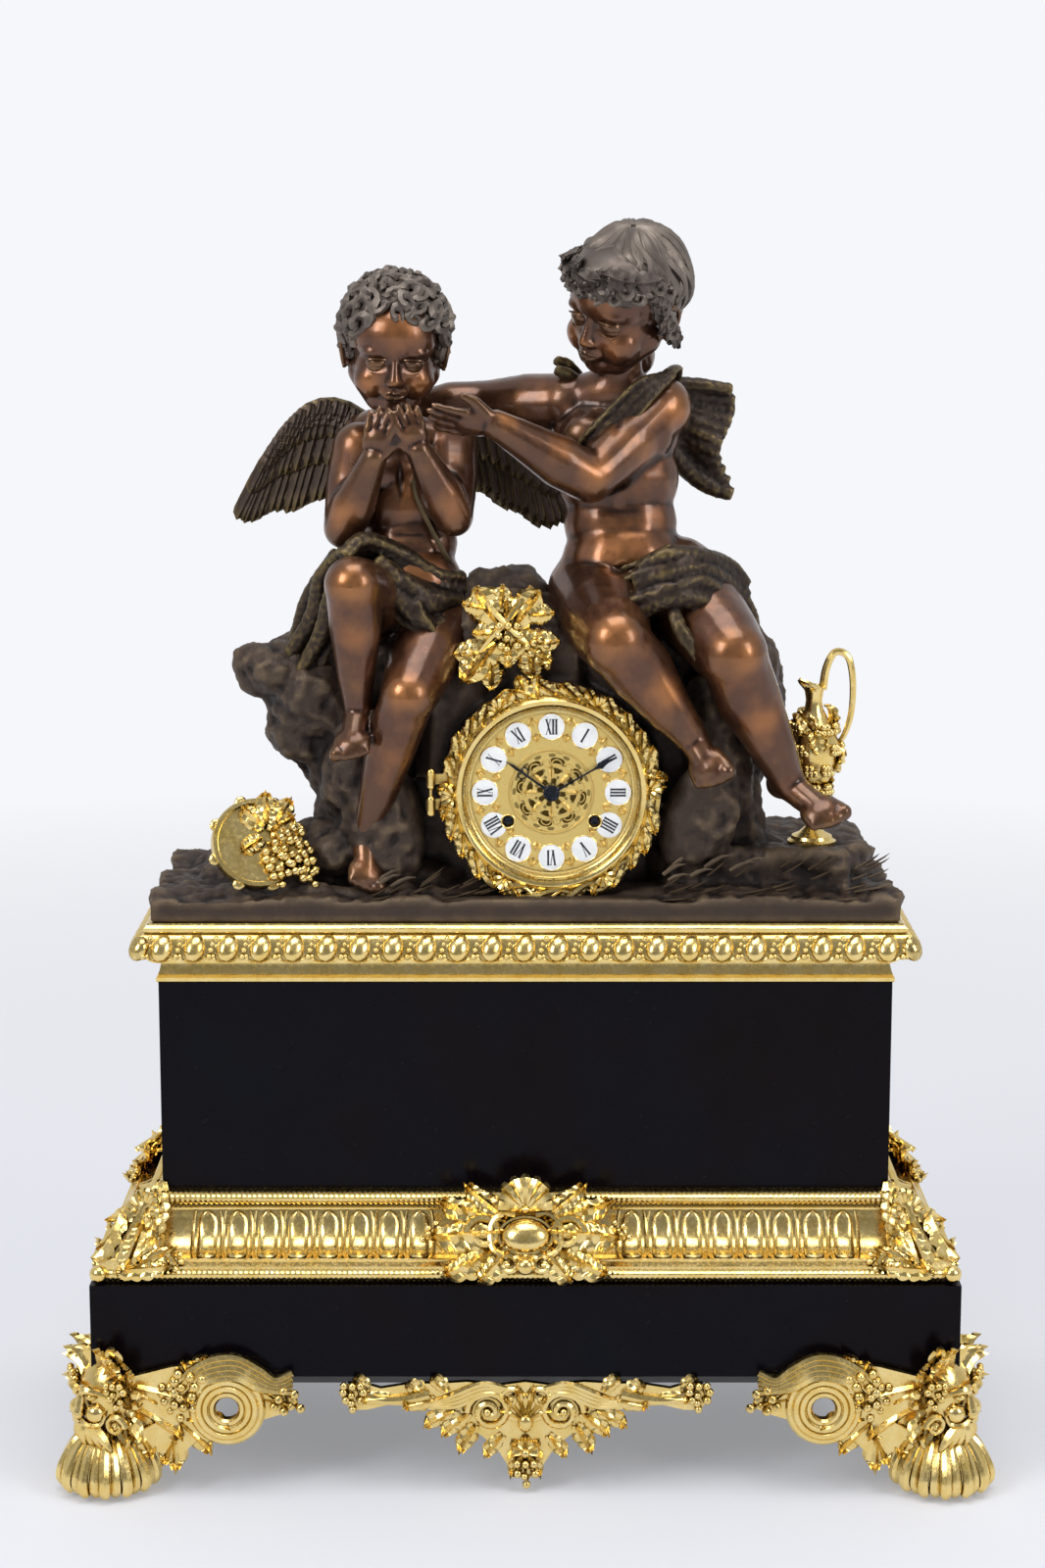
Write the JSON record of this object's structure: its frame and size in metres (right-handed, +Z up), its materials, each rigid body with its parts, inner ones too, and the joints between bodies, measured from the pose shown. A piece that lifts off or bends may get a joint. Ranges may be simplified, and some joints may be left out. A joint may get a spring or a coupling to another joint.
{
  "type": "figural mantel clock",
  "caption": "Figural mantel clock: winged child and companion in dark bronze on a rock holding a gilt drum clock, over a black marble plinth with gilt mounts and scroll feet.",
  "frame": {"origin": "middle of the clock's footprint on the table", "axes": "+Z up, -Y the way the dial faces, +X to the viewer's right"},
  "size_m": [0.552, 0.27, 0.7329],
  "materials": {
    "black_marble": "polished near-black marble",
    "gilt_bronze": "mercury-gilt bronze, part burnished, part matt",
    "patinated_bronze": "dark brown patinated bronze",
    "enamel": "white enamel with dark numerals",
    "clear_glass": "clear flat glass",
    "blued_steel": "blued dark steel",
    "movement_brass": "plain satin brass",
    "bell_bronze": "turned bell metal"
  },
  "bodies": {
    "case": {"lower_plinth": "black_marble", "upper_block": "black_marble", "frieze_front": "gilt_bronze", "frieze_back": "gilt_bronze", "frieze_left": "gilt_bronze", "frieze_right": "gilt_bronze", "frieze_corner_leaves": "gilt_bronze", "frieze_cartouche": "gilt_bronze", "top_moulding_front": "gilt_bronze", "top_moulding_back": "gilt_bronze", "top_moulding_left": "gilt_bronze", "top_moulding_right": "gilt_bronze", "foot_front_left": "gilt_bronze", "foot_front_right": "gilt_bronze", "foot_back_left": "gilt_bronze", "foot_back_right": "gilt_bronze", "front_apron": "gilt_bronze", "tie_bolts": "blued_steel", "rock_base": "patinated_bronze", "winged_putto_body": "patinated_bronze", "winged_putto_head": "patinated_bronze", "wing_left": "patinated_bronze", "wing_right": "patinated_bronze", "winged_putto_drape": "patinated_bronze", "sash_putto_body": "patinated_bronze", "sash_putto_head": "patinated_bronze", "sash_putto_drape": "patinated_bronze", "sash_putto_sash": "patinated_bronze", "vine_cluster": "gilt_bronze", "tambourine": "gilt_bronze", "ewer": "gilt_bronze", "dial_plate": "gilt_bronze", "numeral_cartouches": "enamel", "front_plate": "movement_brass", "back_plate": "movement_brass", "plate_pillars": "movement_brass", "bell_stand": "blued_steel", "bell": "bell_bronze", "bezel_seat": "gilt_bronze", "case_straps": "movement_brass", "back_ring": "movement_brass"},
    "bezel": {"bezel_casting": "gilt_bronze", "bezel_glass": "clear_glass", "bezel_rim": "gilt_bronze"},
    "back_cover": {"back_door": "movement_brass"},
    "minute_train": {"minute_hand": "blued_steel", "centre_arbor": "movement_brass"},
    "hour_train": {"hour_hand": "blued_steel", "hour_wheel": "movement_brass"},
    "motion_wheel": {"minute_wheel": "movement_brass"},
    "third_train": {"third_wheel": "movement_brass"},
    "escape_train": {"escape_wheel": "movement_brass"},
    "going_drum": {"going_barrel": "movement_brass"},
    "going_winder": {"going_winding_arbor": "blued_steel"},
    "strike_drum": {"strike_barrel": "movement_brass"},
    "strike_winder": {"strike_winding_arbor": "blued_steel"},
    "swinging_pendulum": {"pendulum": "movement_brass"},
    "rocking_anchor": {"anchor": "blued_steel"},
    "counting_wheel": {"count_wheel": "movement_brass"},
    "striking_hammer": {"hammer": "blued_steel"}
  },
  "joints": [
    {"name": "bezel_hinge", "type": "hinge", "parent": "case", "child": "bezel", "pos_m": [-0.0546, -0.0615, 0.406], "axis": [0, 0, -1], "range_deg": [0, 100]},
    {"name": "back_door_hinge", "type": "hinge", "parent": "case", "child": "back_cover", "pos_m": [0.07486, 0.0615, 0.406], "axis": [0, 0, -1], "range_deg": [0, 100]},
    {"name": "minute_hand_turn", "type": "hinge", "parent": "case", "child": "minute_train", "pos_m": [0.015, -0.03, 0.406], "axis": [0, 1, 0], "continuous": true},
    {"name": "hour_hand_turn", "type": "hinge", "parent": "case", "child": "hour_train", "pos_m": [0.015, -0.03, 0.406], "axis": [0, 1, 0], "continuous": true},
    {"name": "minute_wheel_turn", "type": "hinge", "parent": "case", "child": "motion_wheel", "pos_m": [0.015, -0.03, 0.4185], "axis": [0, 1, 0], "continuous": true},
    {"name": "third_wheel_turn", "type": "hinge", "parent": "case", "child": "third_train", "pos_m": [0.0253, -0.03, 0.4185], "axis": [0, 1, 0], "continuous": true},
    {"name": "escape_wheel_turn", "type": "hinge", "parent": "case", "child": "escape_train", "pos_m": [0.015, -0.03, 0.426], "axis": [0, 1, 0], "continuous": true},
    {"name": "going_barrel_turn", "type": "hinge", "parent": "case", "child": "going_drum", "pos_m": [0.04, -0.03, 0.389], "axis": [0, 1, 0], "continuous": true},
    {"name": "going_winding_turn", "type": "hinge", "parent": "case", "child": "going_winder", "pos_m": [0.04, -0.03, 0.389], "axis": [0, 1, 0], "range_deg": [0, 1800]},
    {"name": "strike_barrel_turn", "type": "hinge", "parent": "case", "child": "strike_drum", "pos_m": [-0.01, -0.03, 0.389], "axis": [0, 1, 0], "continuous": true},
    {"name": "strike_winding_turn", "type": "hinge", "parent": "case", "child": "strike_winder", "pos_m": [-0.01, -0.03, 0.389], "axis": [0, 1, 0], "range_deg": [0, 1800]},
    {"name": "pendulum_swing", "type": "hinge", "parent": "case", "child": "swinging_pendulum", "pos_m": [0.015, -0.005, 0.44], "axis": [0, 1, 0], "range_deg": [-4, 4]},
    {"name": "anchor_rock", "type": "hinge", "parent": "case", "child": "rocking_anchor", "pos_m": [0.015, -0.03, 0.44], "axis": [0, 1, 0], "range_deg": [-4, 4]},
    {"name": "count_wheel_turn", "type": "hinge", "parent": "case", "child": "counting_wheel", "pos_m": [-0.006, -0.0125, 0.395], "axis": [0, 1, 0], "continuous": true},
    {"name": "hammer_lift", "type": "hinge", "parent": "case", "child": "striking_hammer", "pos_m": [-0.016, -0.03, 0.42], "axis": [0, 1, 0], "range_deg": [0, 12], "stiffness_Nm_per_rad": 0.02, "springref_deg": -2.86}
  ],
  "couplings": [
    {"joint": "hour_hand_turn", "follows": "minute_hand_turn", "ratio": 0.083333},
    {"joint": "minute_wheel_turn", "follows": "minute_hand_turn", "ratio": -0.33333},
    {"joint": "third_wheel_turn", "follows": "minute_hand_turn", "ratio": -7.5},
    {"joint": "going_barrel_turn", "follows": "minute_hand_turn", "ratio": 0.1},
    {"joint": "anchor_rock", "follows": "pendulum_swing", "ratio": 1},
    {"joint": "strike_barrel_turn", "follows": "count_wheel_turn", "ratio": -0.25}
  ]
}
